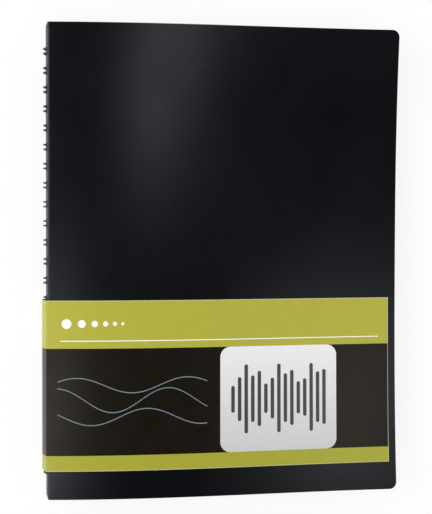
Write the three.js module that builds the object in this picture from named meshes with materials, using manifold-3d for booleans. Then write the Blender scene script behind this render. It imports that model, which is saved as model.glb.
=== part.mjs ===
// A display folder for sheet music, closed and lying on its back: a black polypropylene cover
// creased round a block of clear pockets, twin-loop wire binding that shows through the spine,
// and a printed card band wrapped round the spine and over both covers.
//
// Millimetres. While the pieces are made, X runs from the spine's outer face to the fore edge,
// Y up the page from its middle, and Z up from the back cover's outer face.

import * as THREE from 'three';
import { mergeVertices } from 'three/addons/utils/BufferGeometryUtils.js';
import Module from 'manifold-3d';

const wasm = await Module();
wasm.setup();

// Space left between two pieces that touch.
const seatGap = 0.3;

const leaf = {
  count: 30,
  thickness: 0.42,
  width: 222,
  headMargin: 5,
  bindingMargin: 4.5,
  bindingLift: 0.7,
  liftLength: 34,
};

const cover = {
  width: 239.7,
  height: 316,
  sheet: 0.8,
  cornerRadius: 5,
  creaseLand: 0.7,
  stackRoom: 10.4,
  foreEdgeRoom: 2.5,
  bow: 7,
  flareTop: 8.6,
  flareBottom: 6.9,
  flarePower: 2.5,
};

const wire = {
  diameter: 1.2,
  pitch: 12.7,
  twinSpacing: 3.1,
  endMargin: 17,
  depthRoom: 1.1,
  proud: 2.5,
  seamAngle: 245,
  seamGap: 0.8,
  linkRadius: 1.6,
};

const hole = {
  sideRoom: 0.6,
  spineLength: 4.4,
  leafInnerRoom: 0.5,
  leafOuterRoom: 1.5,
};

const band = {
  card: 0.4,
  height: 113.4,
  headOffset: 25.6,
  foreMargin: 5.2,
  foldRadius: 0.8,
};

// The stack of leaves sets how deep the spine is, and the spine how big the rings are.
const stackHeight = leaf.count * leaf.thickness;
const stackBottom = cover.sheet + seatGap;
const spineDepth = stackHeight + cover.stackRoom;
const foreEdgeHeight = stackBottom + stackHeight + cover.foreEdgeRoom + cover.sheet;
const wireRadius = wire.diameter / 2;
const ringRadius = spineDepth / 2 - cover.sheet - wire.depthRoom - wireRadius;
const ring = {
  x: ringRadius + wireRadius - wire.proud,
  z: spineDepth / 2,
};
const loopSpan = cover.height - 2 * wire.endMargin;
const loopCount = Math.floor(loopSpan / wire.pitch) + 1;
const loopCentres = Array.from(
  { length: loopCount },
  (_, i) => (i - (loopCount - 1) / 2) * wire.pitch,
);
const holeWidth = wire.twinSpacing + wire.diameter + 2 * hole.sideRoom;
const bandStandoff = wire.proud + seatGap + band.card;
const bandEnd = cover.width - band.foreMargin;

function toSolid(geometry) {
  const bare = geometry.clone();
  bare.deleteAttribute('normal');
  bare.deleteAttribute('uv');
  const merged = mergeVertices(bare, 1e-4);
  return new wasm.Manifold(new wasm.Mesh({
    numProp: 3,
    vertProperties: new Float32Array(merged.attributes.position.array),
    triVerts: new Uint32Array(merged.index.array),
  }));
}

function toGeometry(solid) {
  const mesh = solid.getMesh();
  const geometry = new THREE.BufferGeometry();
  geometry.setAttribute('position', new THREE.BufferAttribute(mesh.vertProperties, 3));
  geometry.setIndex(new THREE.BufferAttribute(mesh.triVerts, 1));
  const flat = geometry.toNonIndexed();
  flat.computeVertexNormals();
  return flat;
}

// Evenly spaced values from first to last, both included.
function stations(first, last, count) {
  return Array.from({ length: count + 1 }, (_, i) => first + (last - first) * i / count);
}

// A section drawn in X and Z becomes a bar that runs down the page from its head.
function extrudeDownPage(section, head, height, steps) {
  const geometry = new THREE.ExtrudeGeometry(section, {
    depth: height,
    steps,
    curveSegments: 3,
    bevelEnabled: false,
  });
  geometry.rotateX(Math.PI / 2);
  geometry.translate(0, head, 0);
  return geometry;
}

// Height of the front cover's outer face along its mid line: it falls towards the fore edge
// and bows up most at a third of its width.
function coverRise(x) {
  const s = x / cover.width;
  const chord = spineDepth + (foreEdgeHeight - spineDepth) * s;
  return chord + cover.bow * 6.75 * s * (1 - s) ** 2;
}

// The fore corners of the front cover curl up and away from the stack.
function cornerFlare(x, y) {
  const s = x / cover.width;
  const v = Math.abs(2 * y / cover.height);
  const curl = y > 0 ? cover.flareTop : cover.flareBottom;
  return curl * s * s * v ** cover.flarePower;
}

// Lifts every point that lies above the given height with the curl of the fore corners.
function curlCorners(geometry, above) {
  const position = geometry.attributes.position;
  for (let i = 0; i < position.count; i += 1) {
    const z = position.getZ(i);
    if (z > above) {
      position.setZ(i, z + cornerFlare(position.getX(i), position.getY(i)));
    }
  }
  geometry.computeVertexNormals();
  return geometry;
}

// Plan of a cover: square at the crease, rounded at the fore corners.
function coverPlan(crease) {
  const half = cover.height / 2;
  const r = cover.cornerRadius;
  const plan = new THREE.Shape();
  plan.moveTo(crease, -half);
  plan.lineTo(cover.width - r, -half);
  plan.absarc(cover.width - r, r - half, r, -Math.PI / 2, 0, false);
  plan.lineTo(cover.width, half - r);
  plan.absarc(cover.width - r, half - r, r, 0, Math.PI / 2, false);
  plan.lineTo(crease, half);
  plan.closePath();
  return plan;
}

// The sheet is creased at its mid thickness, and each panel stops short of that line.
const creaseX = cover.sheet / 2 + cover.creaseLand;

function makeBackCover() {
  return new THREE.ExtrudeGeometry(coverPlan(creaseX), {
    depth: cover.sheet,
    curveSegments: 6,
    bevelEnabled: false,
  });
}

function makeFrontCover() {
  const across = stations(creaseX, cover.width, 22);
  const section = new THREE.Shape();
  section.moveTo(creaseX, coverRise(creaseX));
  across.slice(1).forEach((x) => section.lineTo(x, coverRise(x)));
  across.reverse().forEach((x) => section.lineTo(x, coverRise(x) - cover.sheet));
  section.closePath();
  const sheet = curlCorners(extrudeDownPage(section, cover.height / 2, cover.height, 16), 0);
  const trim = new THREE.ExtrudeGeometry(coverPlan(0), {
    depth: 2 * spineDepth + cover.bow + cover.flareTop,
    curveSegments: 6,
    bevelEnabled: false,
  });
  return toGeometry(toSolid(sheet).intersect(toSolid(trim)));
}

// Half the distance between the two rows of holes: where a ring crosses the spine's sheet.
function holeRowOffset() {
  const inset = ring.x - cover.sheet / 2;
  return Math.sqrt(ringRadius * ringRadius - inset * inset);
}

// A bar of the given plan across the spine, set on the spine's outer face.
function spineBlock(length, height, y, z, overlap) {
  const block = new THREE.BoxGeometry(cover.sheet + 2 * overlap, length, height);
  block.translate(cover.sheet / 2, y, z);
  return toSolid(block);
}

function makeSpinePanel() {
  const panel = spineBlock(cover.height, spineDepth - 2 * creaseX, 0, ring.z, 0);
  const offset = holeRowOffset();
  const slots = loopCentres.flatMap((y) => [ring.z - offset, ring.z + offset].map((z) => (
    spineBlock(holeWidth, hole.spineLength, y, z, cover.sheet)
  )));
  return toGeometry(panel.subtract(wasm.Manifold.union(slots)));
}

// One run of the wire is laid out flat, as distance round the ring and height up the page.
// Each loop climbs from the seam, turns back on itself in a narrow tip and returns, and a
// straight link carries the wire on to the next loop.
function wireLayout() {
  const seamHalf = (wire.diameter + wire.seamGap) / 2;
  const length = 2 * Math.PI * ringRadius - 2 * seamHalf;
  const tipRadius = wire.twinSpacing / 2;
  const r = wire.linkRadius;
  const runSteps = 11;
  const tipSteps = 4;
  const cornerSteps = 2;
  const layout = [];
  const add = (along, up) => layout.push(new THREE.Vector2(along, up));
  loopCentres.forEach((centre, index) => {
    const low = centre - tipRadius;
    const high = centre + tipRadius;
    const first = index === 0;
    const last = index === loopCount - 1;
    if (first) {
      add(0, low);
    }
    stations(r, length - tipRadius, runSteps).forEach((along) => add(along, low));
    stations(0, Math.PI, tipSteps).slice(1, -1).forEach((turn) => {
      add(length - tipRadius + tipRadius * Math.sin(turn), centre - tipRadius * Math.cos(turn));
    });
    stations(length - tipRadius, r, runSteps).forEach((along) => add(along, high));
    if (last) {
      add(0, high);
      return;
    }
    const quarter = stations(0, Math.PI / 2, cornerSteps);
    const next = centre + wire.pitch - tipRadius;
    quarter.slice(1).forEach((turn) => {
      add(r - r * Math.sin(turn), high + r - r * Math.cos(turn));
    });
    quarter.slice(1).reverse().forEach((turn) => {
      add(r - r * Math.sin(turn), next - r + r * Math.cos(turn));
    });
  });
  return { layout, seamHalf };
}

// The layout is rolled onto the rings' cylinder. Sections fall on the layout's own points, so
// long runs take few of them and tight turns take enough.
class WirePath extends THREE.Curve {
  constructor() {
    super();
    const { layout, seamHalf } = wireLayout();
    const start = THREE.MathUtils.degToRad(wire.seamAngle) + seamHalf / ringRadius;
    this.points = layout.map((point) => {
      const angle = start + point.x / ringRadius;
      return new THREE.Vector3(
        ring.x + ringRadius * Math.cos(angle),
        point.y,
        ring.z + ringRadius * Math.sin(angle),
      );
    });
  }

  get spans() {
    return this.points.length - 1;
  }

  getPointAt(t, target = new THREE.Vector3()) {
    const place = t * this.spans;
    const index = Math.min(Math.floor(place), this.spans - 1);
    return target.lerpVectors(this.points[index], this.points[index + 1], place - index);
  }

  getTangentAt(t, target = new THREE.Vector3()) {
    const index = Math.round(t * this.spans);
    const here = this.points[index];
    const before = this.points[Math.max(index - 1, 0)];
    const after = this.points[Math.min(index + 1, this.spans)];
    const incoming = here.clone().sub(before).normalize();
    const outgoing = after.clone().sub(here).normalize();
    return target.copy(incoming).add(outgoing).normalize();
  }
}

function makeBindingWire() {
  const sides = 6;
  const section = new THREE.Shape();
  section.setFromPoints(stations(0, 2 * Math.PI, sides).slice(0, -1).map((angle) => (
    new THREE.Vector2(wireRadius * Math.cos(angle), wireRadius * Math.sin(angle))
  )));
  const path = new WirePath();
  return new THREE.ExtrudeGeometry(section, {
    steps: path.spans,
    extrudePath: path,
    bevelEnabled: false,
  });
}

// The leaves bend up where the rings carry them, by a share of the way to the rings' middle.
const stackLift = (ring.z - stackBottom - stackHeight / 2) * leaf.bindingLift;

// Each leaf's binding edge keeps the same distance from the wire, so the stack's edges follow
// the ring.
function leafStart(level) {
  const rise = stackBottom + stackLift + level * stackHeight - ring.z;
  return ring.x + Math.sqrt(ringRadius * ringRadius - rise * rise) - leaf.bindingMargin;
}

function leafRise(x) {
  const flat = THREE.MathUtils.smoothstep(x, ring.x, ring.x + leaf.liftLength);
  return stackLift * (1 - flat);
}

function makeLeafBlock() {
  const section = new THREE.Shape();
  const levels = stations(0, 1, 6);
  const bottom = stations(leafStart(0), leafStart(0) + leaf.width, 40);
  const top = stations(leafStart(1), leafStart(1) + leaf.width, 40);
  const bendEnd = ring.x + leaf.liftLength;
  const bends = (x, i, list) => x < bendEnd + leaf.width / 40 || i === list.length - 1;
  section.moveTo(leafStart(0), stackBottom + leafRise(leafStart(0)));
  bottom.filter(bends).slice(1).forEach((x) => {
    section.lineTo(x, stackBottom + leafRise(x));
  });
  levels.slice(1).forEach((level) => {
    section.lineTo(leafStart(level) + leaf.width, stackBottom + level * stackHeight);
  });
  top.filter(bends).reverse().slice(1).forEach((x) => {
    section.lineTo(x, stackBottom + stackHeight + leafRise(x));
  });
  levels.slice(1, -1).reverse().forEach((level) => {
    const x = leafStart(level);
    section.lineTo(x, stackBottom + level * stackHeight + leafRise(x));
  });
  section.closePath();
  const leafHeight = cover.height - 2 * leaf.headMargin;
  const block = toSolid(extrudeDownPage(section, leafHeight / 2, leafHeight, 1));
  return toGeometry(block.subtract(makeLeafHoles()));
}

// The punched holes line up into channels that curve with the rings, one to a twin loop.
function makeLeafHoles() {
  const inner = ringRadius - wireRadius - hole.leafInnerRoom;
  const outer = ringRadius + wireRadius + hole.leafOuterRoom;
  const first = -Math.PI / 2;
  const last = Math.PI / 3;
  const section = new THREE.Shape();
  section.absarc(ring.x, ring.z, outer, first, last, false);
  section.absarc(ring.x, ring.z, inner, last, first, true);
  section.closePath();
  const channels = loopCentres.map((centre) => {
    const channel = new THREE.ExtrudeGeometry(section, {
      depth: holeWidth,
      curveSegments: 7,
      bevelEnabled: false,
    });
    channel.rotateX(Math.PI / 2);
    channel.translate(0, centre + holeWidth / 2, 0);
    return toSolid(channel);
  });
  return wasm.Manifold.union(channels);
}

// One piece of card: a panel under the back cover, a panel past the wire's tips, and a panel
// that follows the bow of the front cover.
function makeBand() {
  const outerFold = band.foldRadius;
  const innerFold = outerFold - band.card;
  const side = -bandStandoff;
  const foldX = side + outerFold;
  const base = -seatGap - band.card;
  const overCover = (x) => coverRise(x) + seatGap;
  const foldTop = overCover(foldX);
  const across = stations(0, bandEnd, 22);
  const section = new THREE.Shape();
  section.moveTo(bandEnd, -seatGap);
  section.lineTo(foldX, -seatGap);
  section.absarc(foldX, base + outerFold, innerFold, -Math.PI / 2, -Math.PI, true);
  section.lineTo(side + band.card, foldTop + band.card - outerFold);
  section.absarc(foldX, foldTop + band.card - outerFold, innerFold, Math.PI, Math.PI / 2, true);
  across.forEach((x) => section.lineTo(x, overCover(x)));
  across.reverse().forEach((x) => section.lineTo(x, overCover(x) + band.card));
  section.lineTo(foldX, foldTop + band.card);
  section.absarc(foldX, foldTop + band.card - outerFold, outerFold, Math.PI / 2, Math.PI, false);
  section.lineTo(side, base + outerFold);
  section.absarc(foldX, base + outerFold, outerFold, Math.PI, 1.5 * Math.PI, false);
  section.lineTo(bandEnd, base);
  section.closePath();
  return curlCorners(extrudeDownPage(section, -band.headOffset, band.height, 7), ring.z);
}

const blackFilm = new THREE.MeshStandardMaterial({
  color: 0x17181b,
  roughness: 0.48,
  metalness: 0,
});
const blackWire = new THREE.MeshStandardMaterial({
  color: 0x1b1b1d,
  roughness: 0.35,
  metalness: 0.3,
});
const clearPockets = new THREE.MeshStandardMaterial({
  color: 0xdfe2e4,
  roughness: 0.25,
  metalness: 0,
});
const printedCard = new THREE.MeshStandardMaterial({
  color: 0x8f8f3c,
  roughness: 0.4,
  metalness: 0,
});

function piece(name, geometry, material) {
  const mesh = new THREE.Mesh(geometry, material);
  mesh.name = name;
  return mesh;
}

// The finished folder stands on the band's back panel, centred on its own outline.
const folder = new THREE.Group();
folder.add(
  piece('back_cover', makeBackCover(), blackFilm),
  piece('spine_panel', makeSpinePanel(), blackFilm),
  piece('front_cover', makeFrontCover(), blackFilm),
  piece('binding_wire', makeBindingWire(), blackWire),
  piece('pocket_leaves', makeLeafBlock(), clearPockets),
  piece('belly_band', makeBand(), printedCard),
);
folder.position.set((bandStandoff - cover.width) / 2, 0, seatGap + band.card);

export default folder;
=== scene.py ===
import math
import random

import bmesh
import bpy
from mathutils import Matrix, Vector


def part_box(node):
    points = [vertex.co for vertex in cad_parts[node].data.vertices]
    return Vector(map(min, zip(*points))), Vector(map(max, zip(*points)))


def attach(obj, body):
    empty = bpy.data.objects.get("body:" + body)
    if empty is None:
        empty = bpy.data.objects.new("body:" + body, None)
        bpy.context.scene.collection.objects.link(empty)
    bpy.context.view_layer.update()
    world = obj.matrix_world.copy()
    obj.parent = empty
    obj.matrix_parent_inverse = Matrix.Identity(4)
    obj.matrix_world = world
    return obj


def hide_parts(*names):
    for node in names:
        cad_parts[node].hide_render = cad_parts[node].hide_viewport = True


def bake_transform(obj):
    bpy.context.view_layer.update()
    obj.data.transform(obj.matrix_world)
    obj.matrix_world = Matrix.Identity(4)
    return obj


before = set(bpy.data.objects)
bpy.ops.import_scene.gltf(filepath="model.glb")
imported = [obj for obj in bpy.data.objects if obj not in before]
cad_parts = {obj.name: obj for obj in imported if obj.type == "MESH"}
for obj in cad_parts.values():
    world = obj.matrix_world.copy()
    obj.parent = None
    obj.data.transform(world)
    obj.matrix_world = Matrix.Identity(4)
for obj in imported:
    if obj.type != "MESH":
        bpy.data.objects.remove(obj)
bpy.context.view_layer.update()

random.seed(12)
mm = 0.001

# Sizes are in millimetres in the folder's own frame: x from the spine's outer face to the
# fore edge, y up the page from its middle, z up from the back cover's outer face.
folder = {
    "width": 239.7,
    "height": 316.0,
    "sheet": 0.8,
    "seatGap": 0.3,
    "depth": 23.0,
    "foreEdge": 17.0,
    "bow": 7.0,
    "curlHead": 8.6,
    "curlTail": 6.9,
    "curlPower": 2.5,
    "stackHeight": 12.6,
}
backLow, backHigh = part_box("back_cover")
spineX = backHigh[0] - folder["width"] * mm
baseZ = backLow[2]


def place(x, y, z):
    return Vector((spineX + x * mm, y * mm, baseZ + z * mm))


def coverRise(x):
    s = x / folder["width"]
    chord = folder["depth"] + (folder["foreEdge"] - folder["depth"]) * s
    return chord + folder["bow"] * 6.75 * s * (1 - s) ** 2


def cornerCurl(x, y):
    s = x / folder["width"]
    v = abs(2 * y / folder["height"])
    curl = folder["curlHead"] if y > 0 else folder["curlTail"]
    return curl * s * s * v ** folder["curlPower"]


def steps(first, last, count):
    return [first + (last - first) * i / count for i in range(count + 1)]


# A grid is laid out by its columns and rows, and each of its points is then put in place.
def gridSheet(columns, rows, shape):
    bm = bmesh.new()
    across = len(columns) - 1
    along = len(rows) - 1
    bmesh.ops.create_grid(bm, x_segments=across, y_segments=along, size=0.5)
    for vert in bm.verts:
        column = columns[round((vert.co.x + 0.5) * across)]
        row = rows[round((vert.co.y + 0.5) * along)]
        vert.co = shape(column, row)
    return bm


# Pulls the square corner of a sheet in to a round one.
def roundedCorner(x, y, edge, half, radius):
    inX = x - (edge - radius)
    inY = abs(y) - (half - radius)
    if inX <= 0 or inY <= 0:
        return x, y
    pull = max(inX, inY) / math.hypot(inX, inY)
    return edge - radius + inX * pull, math.copysign(half - radius + inY * pull, y)


def cornerRows(half, radius, count):
    ends = [half - radius * (1 - i / 6) for i in range(7)]
    middle = steps(-ends[0], ends[0], count)
    return [-y for y in reversed(ends[1:])] + middle + ends[1:]


def addPiece(name, bm, materials):
    mesh = bpy.data.meshes.new(name)
    bm.to_mesh(mesh)
    bm.free()
    for material in materials:
        mesh.materials.append(material)
    mesh.shade_smooth()
    piece = bpy.data.objects.new(name, mesh)
    bpy.context.collection.objects.link(piece)
    return piece


def thicken(piece, thickness, rimOffset=0):
    solid = piece.modifiers.new("thickness", "SOLIDIFY")
    solid.thickness = thickness * mm
    solid.offset = 0
    solid.use_even_offset = True
    solid.material_offset_rim = rimOffset


def softenEdges(piece, width, segments=2):
    bevel = piece.modifiers.new("softEdges", "BEVEL")
    bevel.width = width * mm
    bevel.segments = segments
    bevel.limit_method = "ANGLE"
    bevel.angle_limit = math.radians(50)
    bevel.harden_normals = True


print("stage: camera")
camera = {
    "position": (-173.53, 31.29, 967.22),
    "right": (0.98454028, 0.0019992, 0.1751469),
    "up": (0.00321874, 0.99955952, -0.02950265),
    "back": (-0.17512873, 0.0296103, 0.98410018),
    "focal": 1423.8,
    "imageHeight": 514,
    "sensor": 36,
}


def makeCamera():
    data = bpy.data.cameras.new("photoCamera")
    data.sensor_width = camera["sensor"]
    data.lens = camera["focal"] * camera["sensor"] / camera["imageHeight"]
    data.clip_end = 100
    eye = bpy.data.objects.new("photoCamera", data)
    turn = Matrix((camera["right"], camera["up"], camera["back"])).transposed().to_4x4()
    eye.matrix_world = Matrix.Translation(Vector(camera["position"]) * mm) @ turn
    bpy.context.collection.objects.link(eye)
    bpy.context.scene.camera = eye


makeCamera()


class Nodes:
    # A short way to add and join shader nodes.
    def __init__(self, name):
        self.material = bpy.data.materials.new(name)
        self.material.use_nodes = True
        self.tree = self.material.node_tree
        self.shader = self.tree.nodes["Principled BSDF"]
        self.output = self.tree.nodes["Material Output"]
        self.coords = self.tree.nodes.new("ShaderNodeTexCoord").outputs["Object"]

    def put(self, socket, value):
        if isinstance(value, bpy.types.NodeSocket):
            self.tree.links.new(value, socket)
        else:
            socket.default_value = value

    def node(self, kind, **settings):
        made = self.tree.nodes.new(kind)
        for key, value in settings.items():
            setattr(made, key, value)
        return made

    def math(self, operation, a, b=0.0, c=0.0):
        made = self.node("ShaderNodeMath", operation=operation)
        for socket, value in zip(made.inputs, (a, b, c)):
            self.put(socket, value)
        return made.outputs[0]

    def vector(self, operation, a, b=(0, 0, 0)):
        made = self.node("ShaderNodeVectorMath", operation=operation)
        self.put(made.inputs[0], a)
        if operation not in ("LENGTH", "ABSOLUTE"):
            self.put(made.inputs[1], b)
        return made.outputs["Value" if operation == "LENGTH" else "Vector"]

    def axes(self):
        split = self.node("ShaderNodeSeparateXYZ")
        self.put(split.inputs[0], self.coords)
        return split.outputs

    def noise(self, scale, detail=3.0, roughness=0.5, stretch=(1, 1, 1)):
        mapping = self.node("ShaderNodeMapping")
        self.put(mapping.inputs["Vector"], self.coords)
        mapping.inputs["Scale"].default_value = stretch
        made = self.node("ShaderNodeTexNoise")
        self.put(made.inputs["Vector"], mapping.outputs[0])
        made.inputs["Scale"].default_value = scale
        made.inputs["Detail"].default_value = detail
        made.inputs["Roughness"].default_value = roughness
        return made.outputs["Fac"]

    def span(self, value, low, high, outLow=0.0, outHigh=1.0):
        made = self.node("ShaderNodeMapRange")
        for socket, number in zip(made.inputs, (value, low, high, outLow, outHigh)):
            self.put(socket, number)
        return made.outputs[0]

    def blend(self, factor, a, b, mode="MIX"):
        made = self.node("ShaderNodeMix", data_type="RGBA", blend_type=mode)
        self.put(made.inputs["Factor"], factor)
        self.put(made.inputs["A"], a)
        self.put(made.inputs["B"], b)
        return made.outputs["Result"]

    def bump(self, height, strength, distance, normal=None):
        made = self.node("ShaderNodeBump")
        made.inputs["Strength"].default_value = strength
        made.inputs["Distance"].default_value = distance
        self.put(made.inputs["Height"], height)
        if normal is not None:
            self.put(made.inputs["Normal"], normal)
        return made.outputs["Normal"]

    def set(self, **values):
        for key, value in values.items():
            self.put(self.shader.inputs[key.replace("_", " ")], value)


print("stage: materials")
coverFinish = {
    "black": (0.0008, 0.0009, 0.0016, 1),
    "scuffed": (0.0045, 0.0048, 0.0056, 1),
    "stressed": (0.02, 0.0205, 0.022, 1),
    "roughness": (0.25, 0.32),
    "grainScale": 2600,
    "grainDepth": 0.00004,
    "gloss": 0.36,
    "sheenTint": (0.88, 0.93, 1.0, 1),
    "spineRough": 0.22,
    "spineEdge": 1.0,
    "creaseAt": 0.6,
}


def makeCoverMaterial():
    n = Nodes("blackSheet")
    x = n.axes()[0]
    cloud = n.noise(22, 4)
    grain = n.noise(coverFinish["grainScale"], 2)
    fleck = n.span(n.noise(900, 2), 0.62, 0.75)
    base = n.blend(n.math("MULTIPLY", fleck, 0.35), coverFinish["black"], coverFinish["scuffed"])
    crease = spineX + coverFinish["creaseAt"] * mm
    fromCrease = n.math("ABSOLUTE", n.math("SUBTRACT", x, crease))
    nearCrease = n.span(fromCrease, 0.0002, 0.0016, 1, 0)
    creaseTone = n.math("MULTIPLY", nearCrease, n.span(n.noise(260, 3), 0.35, 0.7))
    base = n.blend(n.math("MULTIPLY", creaseTone, 0.5), base, coverFinish["stressed"])
    low, high = coverFinish["roughness"]
    mixed = n.math("MULTIPLY_ADD", cloud, 0.6, n.math("MULTIPLY", grain, 0.4))
    rough = n.span(mixed, 0.3, 0.7, low, high)
    onSpine = n.math("LESS_THAN", x, spineX + coverFinish["spineEdge"] * mm)
    rough = n.math("MULTIPLY_ADD", onSpine, coverFinish["spineRough"], rough)
    n.set(Base_Color=base, Roughness=rough)
    n.set(Normal=n.bump(grain, 0.35, coverFinish["grainDepth"]))
    n.shader.inputs["Specular IOR Level"].default_value = coverFinish["gloss"]
    n.shader.inputs["Specular Tint"].default_value = coverFinish["sheenTint"]
    return n.material


wireFinish = {
    "black": (0.003, 0.003, 0.0035, 1),
    "worn": (0.014, 0.014, 0.015, 1),
    "roughness": (0.30, 0.42),
    "gloss": 0.4,
}


def makeWireMaterial():
    n = Nodes("blackCoatedWire")
    wear = n.span(n.noise(420, 4), 0.55, 0.75)
    n.set(Base_Color=n.blend(wear, wireFinish["black"], wireFinish["worn"]))
    n.set(Roughness=n.span(n.noise(900, 2), 0.3, 0.7, *wireFinish["roughness"]))
    n.set(Normal=n.bump(n.noise(1800, 2), 0.2, 0.00003))
    n.shader.inputs["Specular IOR Level"].default_value = wireFinish["gloss"]
    return n.material


leafFinish = {
    "film": (0.46, 0.485, 0.50, 1),
    "strip": (0.74, 0.75, 0.75, 1),
    "cloudy": (0.49, 0.51, 0.525, 1),
    "weld": (0.86, 0.87, 0.875, 1),
    "stripWidth": 22.5,
    "weldWidth": 1.1,
    "weldPitch": 1.4,
    "sideMargin": 3.0,
    "roughness": (0.27, 0.31),
    "stripRough": 0.12,
}


def makeLeafMaterial():
    n = Nodes("clearPocketFilm")
    f = leafFinish
    x, y = n.axes()[:2]
    cloudy = n.noise(9, 2, 0.5, (1, 0.4, 1))
    film = n.blend(cloudy, f["film"], f["cloudy"])
    across = n.math("DIVIDE", n.math("SUBTRACT", x, spineX), mm)
    up = n.math("DIVIDE", y, mm)
    onStrip = n.math("LESS_THAN", across, f["stripWidth"])
    base = n.blend(onStrip, film, f["strip"])

    # Knurled weld lines: beside the punched strip, along the tail and the fore edge.
    farEdge = leafStart(0.5) + leafForm["width"] - f["sideMargin"]
    tailEdge = -leafForm["height"] / 2 + f["sideMargin"]
    weld = None
    for axis, at in ((across, f["stripWidth"]), (across, farEdge), (up, tailEdge)):
        away = n.math("ABSOLUTE", n.math("SUBTRACT", axis, at))
        on = n.math("LESS_THAN", away, f["weldWidth"] / 2)
        weld = on if weld is None else n.math("MAXIMUM", weld, on)
    along = n.math("ADD", across, up)
    ridges = n.math("SINE", n.math("MULTIPLY", along, 2 * math.pi / f["weldPitch"]))
    weldTone = n.math("MULTIPLY", weld, n.span(ridges, -1, 1, 0.45, 0.9))
    n.set(Base_Color=n.blend(weldTone, base, f["weld"]))
    smear = n.span(n.noise(11, 1), 0, 1, *f["roughness"])
    n.set(Roughness=n.math("ADD", smear, n.math("MULTIPLY", onStrip, f["stripRough"])))
    grain = n.bump(n.noise(1500, 2), 0.15, 0.00003)
    grain = n.bump(n.math("MULTIPLY", weld, ridges), 0.5, 0.0001, grain)
    n.set(Normal=grain)
    return n.material


bandForm = {
    "card": 0.4,
    "head": -25.6,
    "tail": -139.0,
    "foreMargin": 5.2,
    "fold": -0.6,
    "inset": 0.01,
    "edgeSoftness": 0.05,
}

bandPrint = {
    "green": (0.378, 0.366, 0.046, 1),
    "greenLow": (0.325, 0.320, 0.034, 1),
    "dark": (0.0060, 0.0040, 0.0018, 1),
    "pale": (0.72, 0.73, 0.74, 1),
    "paleLow": (0.50, 0.51, 0.52, 1),
    "bar": (0.055, 0.05, 0.045, 1),
    "line": (0.16, 0.21, 0.24, 1),
    "white": (0.85, 0.85, 0.80, 1),
    "rubbed": (0.62, 0.62, 0.42, 1),
    "ruleLevel": -52.4,
    "dotLevel": -41.0,
    "dots": ((12.0, 3.2), (22.0, 2.6), (30.5, 2.1), (37.7, 1.7), (43.8, 1.35), (49.0, 1.05)),
    "greenEnd": -57.4,
    "darkEnd": -128.6,
    "window": (115.0, 197.0),
    "windowRadius": 7.0,
    "barPitch": 4.6,
    "barMargin": 6.5,
    "barHalf": 1.25,
    "barCount": 15,
    "waves": ((-82.0, 5.0, 0.0), (-92.0, 8.0, 1.1), (-103.0, 5.5, 2.3)),
    "waveTurn": 0.085,
    "waveHalf": 0.32,
    "waveStretch": (6.0, 106.0),
    "ruleMiddle": 117.5,
    "ruleReach": 109.5,
    "ruleHalf": 0.3,
    "rubbedWidth": 0.5,
    "roughness": (0.29, 0.35),
    "gloss": 0.24,
    "sheenTint": (1.0, 0.93, 0.86, 1),
}


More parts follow.
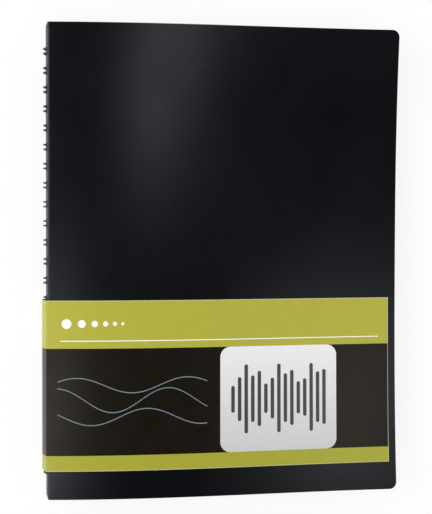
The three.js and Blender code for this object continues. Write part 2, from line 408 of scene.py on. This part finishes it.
def makeBandMaterial():
    n = Nodes("printedBand")
    p = bandPrint
    x, y, z = n.axes()
    across = n.math("DIVIDE", n.math("SUBTRACT", x, spineX), mm)
    up = n.math("DIVIDE", y, mm)
    isGreen = n.math("GREATER_THAN", up, p["greenEnd"])
    isLow = n.math("LESS_THAN", up, p["darkEnd"])
    base = n.blend(isGreen, p["dark"], p["green"])
    base = n.blend(isLow, base, p["greenLow"])

    # The pale window with rounded corners, on the front panel only.
    left, right = p["window"]
    centre = ((left + right) / 2, (p["greenEnd"] + p["darkEnd"]) / 2, 0)
    halves = ((right - left) / 2, (p["greenEnd"] - p["darkEnd"]) / 2, 0)
    radius = p["windowRadius"]
    flat = n.node("ShaderNodeCombineXYZ")
    n.put(flat.inputs[0], across)
    n.put(flat.inputs[1], up)
    offset = n.vector("SUBTRACT", flat.outputs[0], centre)
    core = (halves[0] - radius, halves[1] - radius, 0)
    beyond = n.vector("SUBTRACT", n.vector("ABSOLUTE", offset), core)
    beyond = n.vector("MAXIMUM", beyond, (0, 0, 0))
    onFront = n.math("GREATER_THAN", z, baseZ + folder["depth"] / 2 * mm)
    inWindow = n.math("LESS_THAN", n.vector("LENGTH", beyond), radius)
    inWindow = n.math("MULTIPLY", inWindow, onFront)
    fade = n.span(up, p["darkEnd"], p["greenEnd"])
    window = n.blend(fade, p["paleLow"], p["pale"])

    # A row of round-ended bars of changing height stands in the window.
    pitch = p["barPitch"]
    fromFirst = n.math("SUBTRACT", across, left + p["barMargin"])
    cell = n.math("DIVIDE", fromFirst, pitch)
    index = n.math("FLOOR", cell)
    inCell = n.math("MULTIPLY", n.math("SUBTRACT", n.math("FRACT", cell), 0.5), pitch)
    swell = n.math("ABSOLUTE", n.math("SINE", n.math("MULTIPLY", index, 0.62)))
    ripple = n.math("ABSOLUTE", n.math("SINE", n.math("MULTIPLY_ADD", index, 1.9, 0.7)))
    reach = n.math("MULTIPLY_ADD", swell, 12.0, n.math("MULTIPLY_ADD", ripple, 9.0, 2.0))
    fromMiddle = n.math("ABSOLUTE", n.math("SUBTRACT", up, centre[1]))
    over = n.math("MAXIMUM", n.math("SUBTRACT", fromMiddle, reach), 0.0)
    squares = n.math("ADD", n.math("POWER", inCell, 2.0), n.math("POWER", over, 2.0))
    isBar = n.math("LESS_THAN", n.math("SQRT", squares), p["barHalf"])
    isBar = n.math("MULTIPLY", isBar, n.math("GREATER_THAN", index, -0.5))
    isBar = n.math("MULTIPLY", isBar, n.math("LESS_THAN", index, p["barCount"] - 0.5))
    window = n.blend(isBar, window, p["bar"])
    base = n.blend(inWindow, base, window)

    # Thin waves run through the dark field, left of the window.
    waves = None
    for level, swing, turn in p["waves"]:
        angle = n.math("MULTIPLY_ADD", across, p["waveTurn"], turn)
        line = n.math("MULTIPLY_ADD", n.math("SINE", angle), swing, level)
        away = n.math("ABSOLUTE", n.math("SUBTRACT", up, line))
        on = n.math("LESS_THAN", away, p["waveHalf"])
        waves = on if waves is None else n.math("MAXIMUM", waves, on)
    first, last = p["waveStretch"]
    inStretch = n.math("GREATER_THAN", across, first)
    inStretch = n.math("MULTIPLY", inStretch, n.math("LESS_THAN", across, last))
    waves = n.math("MULTIPLY", n.math("MULTIPLY", waves, inStretch), onFront)
    base = n.blend(waves, base, p["line"])

    # A fine rule with round ends and a row of dots stand in the header.
    ruleMiddle = (p["ruleMiddle"], p["ruleLevel"], 0)
    fromRule = n.vector("SUBTRACT", flat.outputs[0], ruleMiddle)
    fromRule = n.vector("SUBTRACT", n.vector("ABSOLUTE", fromRule), (p["ruleReach"], 0, 0))
    fromRule = n.vector("LENGTH", n.vector("MAXIMUM", fromRule, (0, 0, 0)))
    rule = n.math("LESS_THAN", fromRule, p["ruleHalf"])
    for at, size in p["dots"]:
        fromDot = n.vector("SUBTRACT", flat.outputs[0], (at, p["dotLevel"], 0))
        inDot = n.math("LESS_THAN", n.vector("LENGTH", fromDot), size)
        rule = n.math("MAXIMUM", rule, inDot)
    base = n.blend(n.math("MULTIPLY", rule, onFront), base, p["white"])

    # The print is rubbed pale along its cut edges.
    middle = (bandForm["head"] + bandForm["tail"]) / 2
    half = (bandForm["head"] - bandForm["tail"]) / 2
    fromMiddle = n.math("ABSOLUTE", n.math("SUBTRACT", up, middle))
    fromEdge = n.math("SUBTRACT", half, fromMiddle)
    fromEnd = n.math("SUBTRACT", folder["width"] - bandForm["foreMargin"], across)
    rubbed = n.math("LESS_THAN", n.math("MINIMUM", fromEdge, fromEnd), p["rubbedWidth"])
    base = n.blend(n.math("MULTIPLY", rubbed, 0.4), base, p["rubbed"])

    mottle = n.span(n.noise(700, 3), 0.3, 0.7, 0.96, 1.03)
    tint = n.node("ShaderNodeCombineXYZ")
    for socket in tint.inputs:
        n.put(socket, mottle)
    base = n.blend(1.0, base, tint.outputs[0], "MULTIPLY")
    n.set(Base_Color=base)
    n.set(Roughness=n.span(n.noise(60, 3), 0.3, 0.7, *p["roughness"]))
    n.shader.inputs["Specular IOR Level"].default_value = p["gloss"]
    n.shader.inputs["Specular Tint"].default_value = p["sheenTint"]
    fibre = n.bump(n.noise(1300, 3, 0.6), 0.12, 0.00005)
    n.set(Normal=n.bump(n.noise(16, 2), 0.2, 0.0006, fibre))
    return n.material


def makeBoardMaterial():
    n = Nodes("rawBoard")
    layers = n.noise(900, 3, 0.6, (0.2, 0.2, 6))
    n.set(Base_Color=n.blend(layers, (0.55, 0.54, 0.50, 1), (0.78, 0.77, 0.73, 1)))
    n.set(Roughness=0.85)
    n.set(Normal=n.bump(n.noise(2200, 3), 0.4, 0.00005))
    return n.material


blackSheet = makeCoverMaterial()
blackWire = makeWireMaterial()
printedBand = makeBandMaterial()
rawBoard = makeBoardMaterial()


print("stage: covers")
coverForm = {
    "cornerRadius": 5.0,
    "creaseEnd": 1.1,
    "creaseLand": 1.1,
    "edgeSoftness": 0.16,
    "inset": 0.04,
    "rows": 60,
}


# Across a cover: the bend at the crease as negative steps, then distance from the spine.
def coverColumns():
    near = [coverForm["creaseEnd"], 2.0, 3.2, 5.0, 7.5]
    edge = folder["width"] - coverForm["cornerRadius"]
    middle = steps(near[-1], edge, 58)[1:]
    ends = [edge + coverForm["cornerRadius"] * i / 6 for i in range(1, 7)]
    return [-1 + i / 5 for i in range(5)] + near + middle + ends


def makeCover(name, node, front):
    mid = folder["sheet"] / 2
    end = coverForm["creaseEnd"]
    half = folder["height"] / 2 - coverForm["inset"]

    def height(x, y):
        return coverRise(x) - mid + cornerCurl(x, y) if front else mid

    landZ = folder["depth"] - coverForm["creaseLand"] if front else coverForm["creaseLand"]

    def shape(column, row):
        if column < 0:
            turn = (1 + column) * math.pi / 2
            x = end - (end - mid) * math.cos(turn)
            return place(x, row, landZ + (height(end, row) - landZ) * math.sin(turn))
        x, y = roundedCorner(column, row, folder["width"], half, coverForm["cornerRadius"])
        return place(x - coverForm["inset"], y, height(x, y))

    rows = cornerRows(half, coverForm["cornerRadius"], coverForm["rows"])
    cover = addPiece(name, gridSheet(coverColumns(), rows, shape), [blackSheet])
    thicken(cover, folder["sheet"])
    softenEdges(cover, coverForm["edgeSoftness"])
    tuple(place(end, 0, height(end, 0)))
    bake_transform(cover)
    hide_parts(node)


makeCover("frontCoverSheet", "front_cover", True)
makeCover("backCoverSheet", "back_cover", False)


print("stage: wire")
wireForm = {
    "radius": 0.6,
    "ringRadius": 9.0,
    "pitch": 12.7,
    "count": 23,
    "twinSpacing": 3.1,
    "seamAngle": 245.0,
    "seamGap": 0.8,
    "linkRadius": 1.6,
    "proud": 2.5,
}
ringX = wireForm["ringRadius"] + wireForm["radius"] - wireForm["proud"]
ringZ = folder["depth"] / 2
middleLoop = (wireForm["count"] - 1) / 2
loopCentres = [(i - middleLoop) * wireForm["pitch"] for i in range(wireForm["count"])]


# The wire laid out flat: distance round the ring, and height up the page.
def wireLayout():
    seamHalf = wireForm["radius"] + wireForm["seamGap"] / 2
    length = 2 * math.pi * wireForm["ringRadius"] - 2 * seamHalf
    tip = wireForm["twinSpacing"] / 2
    r = wireForm["linkRadius"]
    layout = []
    for index, centre in enumerate(loopCentres):
        low, high = centre - tip, centre + tip
        if index == 0:
            layout.append((0, low))
        layout += [(a, low) for a in steps(r, length - tip, 40)]
        for turn in steps(0, math.pi, 10)[1:-1]:
            layout.append((length - tip + tip * math.sin(turn), centre - tip * math.cos(turn)))
        layout += [(a, high) for a in steps(length - tip, r, 40)]
        if index == wireForm["count"] - 1:
            layout.append((0, high))
            break
        quarter = steps(0, math.pi / 2, 5)[1:]
        nextLow = centre + wireForm["pitch"] - tip
        layout += [(r - r * math.sin(t), high + r - r * math.cos(t)) for t in quarter]
        back = reversed(quarter)
        layout += [(r - r * math.sin(t), nextLow - r + r * math.cos(t)) for t in back]
    return layout, seamHalf


def makeWire():
    layout, seamHalf = wireLayout()
    start = math.radians(wireForm["seamAngle"]) + seamHalf / wireForm["ringRadius"]
    data = bpy.data.curves.new("twinLoopWire", "CURVE")
    data.dimensions = "3D"
    data.bevel_depth = wireForm["radius"] * mm
    data.bevel_resolution = 2
    data.use_fill_caps = True
    run = data.splines.new("POLY")
    run.points.add(len(layout) - 1)
    for point, (around, up) in zip(run.points, layout):
        angle = start + around / wireForm["ringRadius"]
        x = ringX + wireForm["ringRadius"] * math.cos(angle)
        z = ringZ + wireForm["ringRadius"] * math.sin(angle)
        point.co = (*place(x, up, z), 1)
    run.use_smooth = True
    data.materials.append(blackWire)
    wire = bpy.data.objects.new("twinLoopWire", data)
    bpy.context.collection.objects.link(wire)
    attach(wire, "spine")
    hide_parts("binding_wire")


makeWire()


print("stage: spine")
spineForm = {
    "holeWidth": 5.5,
    "holeLength": 4.4,
    "edgeSoftness": 0.14,
}


def makeSpine():
    mid = folder["sheet"] / 2
    inset = ringX - mid
    offset = math.sqrt(wireForm["ringRadius"] ** 2 - inset ** 2)
    halfHole = spineForm["holeLength"] / 2
    rowsZ = [ringZ - offset, ringZ + offset]
    columns = [coverForm["creaseLand"]]
    for z in rowsZ:
        columns += [z - halfHole, z + halfHole]
    columns.append(folder["depth"] - coverForm["creaseLand"])
    rows = [-folder["height"] / 2]
    for centre in loopCentres:
        rows += [centre - spineForm["holeWidth"] / 2, centre + spineForm["holeWidth"] / 2]
    rows.append(folder["height"] / 2)
    bm = gridSheet(columns, rows, lambda z, y: place(mid, y, z))
    holes = []
    for face in bm.faces:
        middle = face.calc_center_median()
        z = (middle.z - baseZ) / mm
        y = middle.y / mm
        inRow = any(abs(z - row) < halfHole for row in rowsZ)
        if inRow and any(abs(y - centre) < spineForm["holeWidth"] / 2 for centre in loopCentres):
            holes.append(face)
    bmesh.ops.delete(bm, geom=holes, context="FACES")
    spine = addPiece("spineSheet", bm, [blackSheet])
    thicken(spine, folder["sheet"])
    softenEdges(spine, spineForm["edgeSoftness"])
    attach(spine, "spine")
    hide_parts("spine_panel")


makeSpine()


print("stage: leaves")
leafForm = {
    "count": 30,
    "width": 222.0,
    "height": 306.0,
    "film": 0.24,
    "bindingMargin": 4.5,
    "lift": 0.7,
    "liftLength": 34.0,
    "holeReach": 2.1,
    "cornerRadius": 3.0,
    "waviness": 0.05,
    "edgeSoftness": 0.04,
}
stackBottom = folder["sheet"] + folder["seatGap"]
stackLift = (ringZ - stackBottom - folder["stackHeight"] / 2) * leafForm["lift"]


def leafStart(level):
    rise = stackBottom + stackLift + level * folder["stackHeight"] - ringZ
    return ringX + math.sqrt(wireForm["ringRadius"] ** 2 - rise ** 2) - leafForm["bindingMargin"]


def leafRise(x):
    t = min(max((x - ringX) / leafForm["liftLength"], 0), 1)
    return stackLift * (1 - t * t * (3 - 2 * t))


pocketFilm = makeLeafMaterial()


def makeLeaf(index):
    level = (index + 0.5) / leafForm["count"]
    start = leafStart(level)
    half = leafForm["height"] / 2
    radius = leafForm["cornerRadius"]
    margin, reach = leafForm["bindingMargin"], leafForm["holeReach"]
    columns = [0, margin - reach, margin + reach, 10, 15, 20, 25, 30, 36, 45]
    columns += steps(60, leafForm["width"] - radius, 9)
    columns += [leafForm["width"] - radius * (1 - i / 4) for i in range(1, 5)]
    holeHalf = spineForm["holeWidth"] / 2
    rows = [-half + radius * i / 4 for i in range(5)]
    for centre in loopCentres:
        rows += [centre - holeHalf, centre + holeHalf]
    rows += [half - radius * (1 - i / 4) for i in range(5)]
    phase = random.uniform(0, 6.28)
    shiftX, shiftY = random.uniform(-0.25, 0.25), random.uniform(-0.5, 0.5)

    def shape(column, row):
        x, y = roundedCorner(column, row, leafForm["width"], half, radius)
        z = stackBottom + level * folder["stackHeight"] + leafRise(start + x)
        wave = math.sin(x * 0.045 + phase) * math.sin(y * 0.03 + phase * 2)
        far = min(max((x - 20) / 30, 0), 1)
        z += leafForm["waviness"] * wave * far
        return place(start + x + shiftX * far, y + shiftY, z)

    bm = gridSheet(columns, rows, shape)
    holes = []
    for face in bm.faces:
        middle = face.calc_center_median()
        x = (middle.x - spineX) / mm - start
        y = middle.y / mm - shiftY
        inHole = abs(x - margin) < reach
        if inHole and any(abs(y - centre) < holeHalf for centre in loopCentres):
            holes.append(face)
    bmesh.ops.delete(bm, geom=holes, context="FACES")
    leaf = addPiece(f"pocketLeaf{index + 1:02d}", bm, [pocketFilm])
    thicken(leaf, leafForm["film"])
    softenEdges(leaf, leafForm["edgeSoftness"], 1)
    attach(leaf, "spine")
    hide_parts("pocket_leaves")


for leafIndex in range(leafForm["count"]):
    makeLeaf(leafIndex)


print("stage: band")


def makeBandHalf(name, front):
    gap = folder["seatGap"] + bandForm["card"] / 2
    side = -(wireForm["proud"] + gap) + bandForm["inset"]
    way = 1 if front else -1
    foldX = bandForm["fold"]
    end = folder["width"] - bandForm["foreMargin"]

    def panelZ(x, y):
        inner = gap - bandForm["inset"]
        return coverRise(x) + inner + cornerCurl(x, y) if front else -inner

    # Up the spine the card leans in from the wire to its fold, then turns over the cover.
    foldZ = panelZ(foldX, 0)
    lean = [(side, 0.0), (side, 1.8), (side + 0.12, 3.2), (side + 0.45, 5.0)]
    reach = abs(foldZ - ringZ)
    lean += [(foldX - 0.75, reach - 1.25), (foldX - 0.6, reach - 0.75)]
    for turn in steps(0, math.pi / 2, 5)[1:]:
        lean.append((foldX - 0.5 * math.cos(turn), reach - 0.5 + 0.5 * math.sin(turn)))
    columns = list(range(-len(lean), 0))
    columns += steps(foldX + 1.2, 12, 6) + steps(12, end, 56)[1:]

    def shape(column, row):
        if column < 0:
            x, rise = lean[column + len(lean)]
            return place(x, row, ringZ + rise * way)
        return place(column, row, panelZ(column, row))

    rows = steps(bandForm["tail"], bandForm["head"], 28)
    bm = gridSheet(columns, rows, shape)
    bmesh.ops.recalc_face_normals(bm, faces=bm.faces)
    half = addPiece(name, bm, [printedBand, rawBoard])
    thicken(half, bandForm["card"], 1)
    softenEdges(half, bandForm["edgeSoftness"], 1)
    tuple(place(5, 0, panelZ(5, 0)))
    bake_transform(half)
    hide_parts("belly_band")


makeBandHalf("bandFrontHalf", True)
makeBandHalf("bandBackHalf", False)


print("stage: floor and light")
studio = {
    "floorRadius": 2.6,
    "wallRadius": 3.4,
    "wallHeight": 1.3,
    "floorLevel": -0.0002,
    "floorTone": (0.90, 0.90, 0.90, 1),
    "whiteShare": 0.84,
    "worldTone": (0.02, 0.02, 0.024, 1),
}


def makeFloor():
    bm = bmesh.new()
    drop = studio["floorLevel"]
    sweep = studio["wallRadius"] - studio["floorRadius"]
    profile = [(0.0, drop), (studio["floorRadius"], drop)]
    for turn in steps(0, math.pi / 2, 8)[1:]:
        out = studio["floorRadius"] + sweep * math.sin(turn)
        profile.append((out, drop + sweep * (1 - math.cos(turn))))
    profile.append((studio["wallRadius"], studio["wallHeight"]))
    verts = [bm.verts.new((r, 0, z)) for r, z in profile]
    edges = [bm.edges.new(pair) for pair in zip(verts, verts[1:])]
    bmesh.ops.spin(
        bm, geom=verts + edges, cent=(0, 0, 0), axis=(0, 0, 1),
        angle=2 * math.pi, steps=96, use_merge=True,
    )
    bmesh.ops.remove_doubles(bm, verts=bm.verts, dist=1e-5)
    bmesh.ops.recalc_face_normals(bm, faces=bm.faces)
    n = Nodes("studioFloor")
    n.set(Base_Color=studio["floorTone"], Roughness=0.9)
    path = n.node("ShaderNodeLightPath")
    seen = n.math("MAXIMUM", path.outputs["Is Camera Ray"], path.outputs["Is Glossy Ray"])
    seen = n.math("MAXIMUM", seen, path.outputs["Is Transmission Ray"])
    glow = n.node("ShaderNodeEmission")
    mix = n.node("ShaderNodeMixShader")
    n.put(mix.inputs[0], n.math("MULTIPLY", seen, studio["whiteShare"]))
    n.put(mix.inputs[1], n.shader.outputs[0])
    n.put(mix.inputs[2], glow.outputs[0])
    n.put(n.output.inputs["Surface"], mix.outputs[0])
    floor = addPiece("studioFloor", bm, [n.material])


lamps = {
    "keyLeft": {"at": (-1.95, 0.4, 1.45), "size": (2.2, 1.3), "power": 54},
    "head": {"at": (0.0, 2.0, 1.35), "size": (2.2, 1.0), "power": 22},
    "foot": {"at": (-0.2, -2.0, 1.35), "size": (2.2, 1.0), "power": 22},
    "right": {"at": (2.4, 0.1, 0.9), "size": (2.6, 0.9), "power": 16},
    "glowTop": {"at": (0.10, 0.22, 1.02), "size": (0.14, 0.18), "power": 0.46},
    "glowRight": {"at": (0.425, -0.195, 0.6), "size": (0.08, 0.13), "power": 0.62},
    "glowLeft": {"at": (-0.47, -0.27, 1.0), "size": (0.12, 0.42), "power": 1.2},
}


def makeLamps():
    for name, lamp in lamps.items():
        data = bpy.data.lights.new(name, "AREA")
        data.shape = "RECTANGLE"
        data.size, data.size_y = lamp["size"]
        data.energy = lamp["power"]
        light = bpy.data.objects.new(name, data)
        light.location = lamp["at"]
        light.visible_camera = False
        light.rotation_euler = (-Vector(lamp["at"])).to_track_quat("-Z", "Y").to_euler()
        bpy.context.collection.objects.link(light)
    world = bpy.data.worlds.new("studio")
    world.use_nodes = True
    world.node_tree.nodes["Background"].inputs["Color"].default_value = studio["worldTone"]
    bpy.context.scene.world = world


makeFloor()
makeLamps()
bpy.context.scene.view_settings.view_transform = "Standard"

print("stage: done")
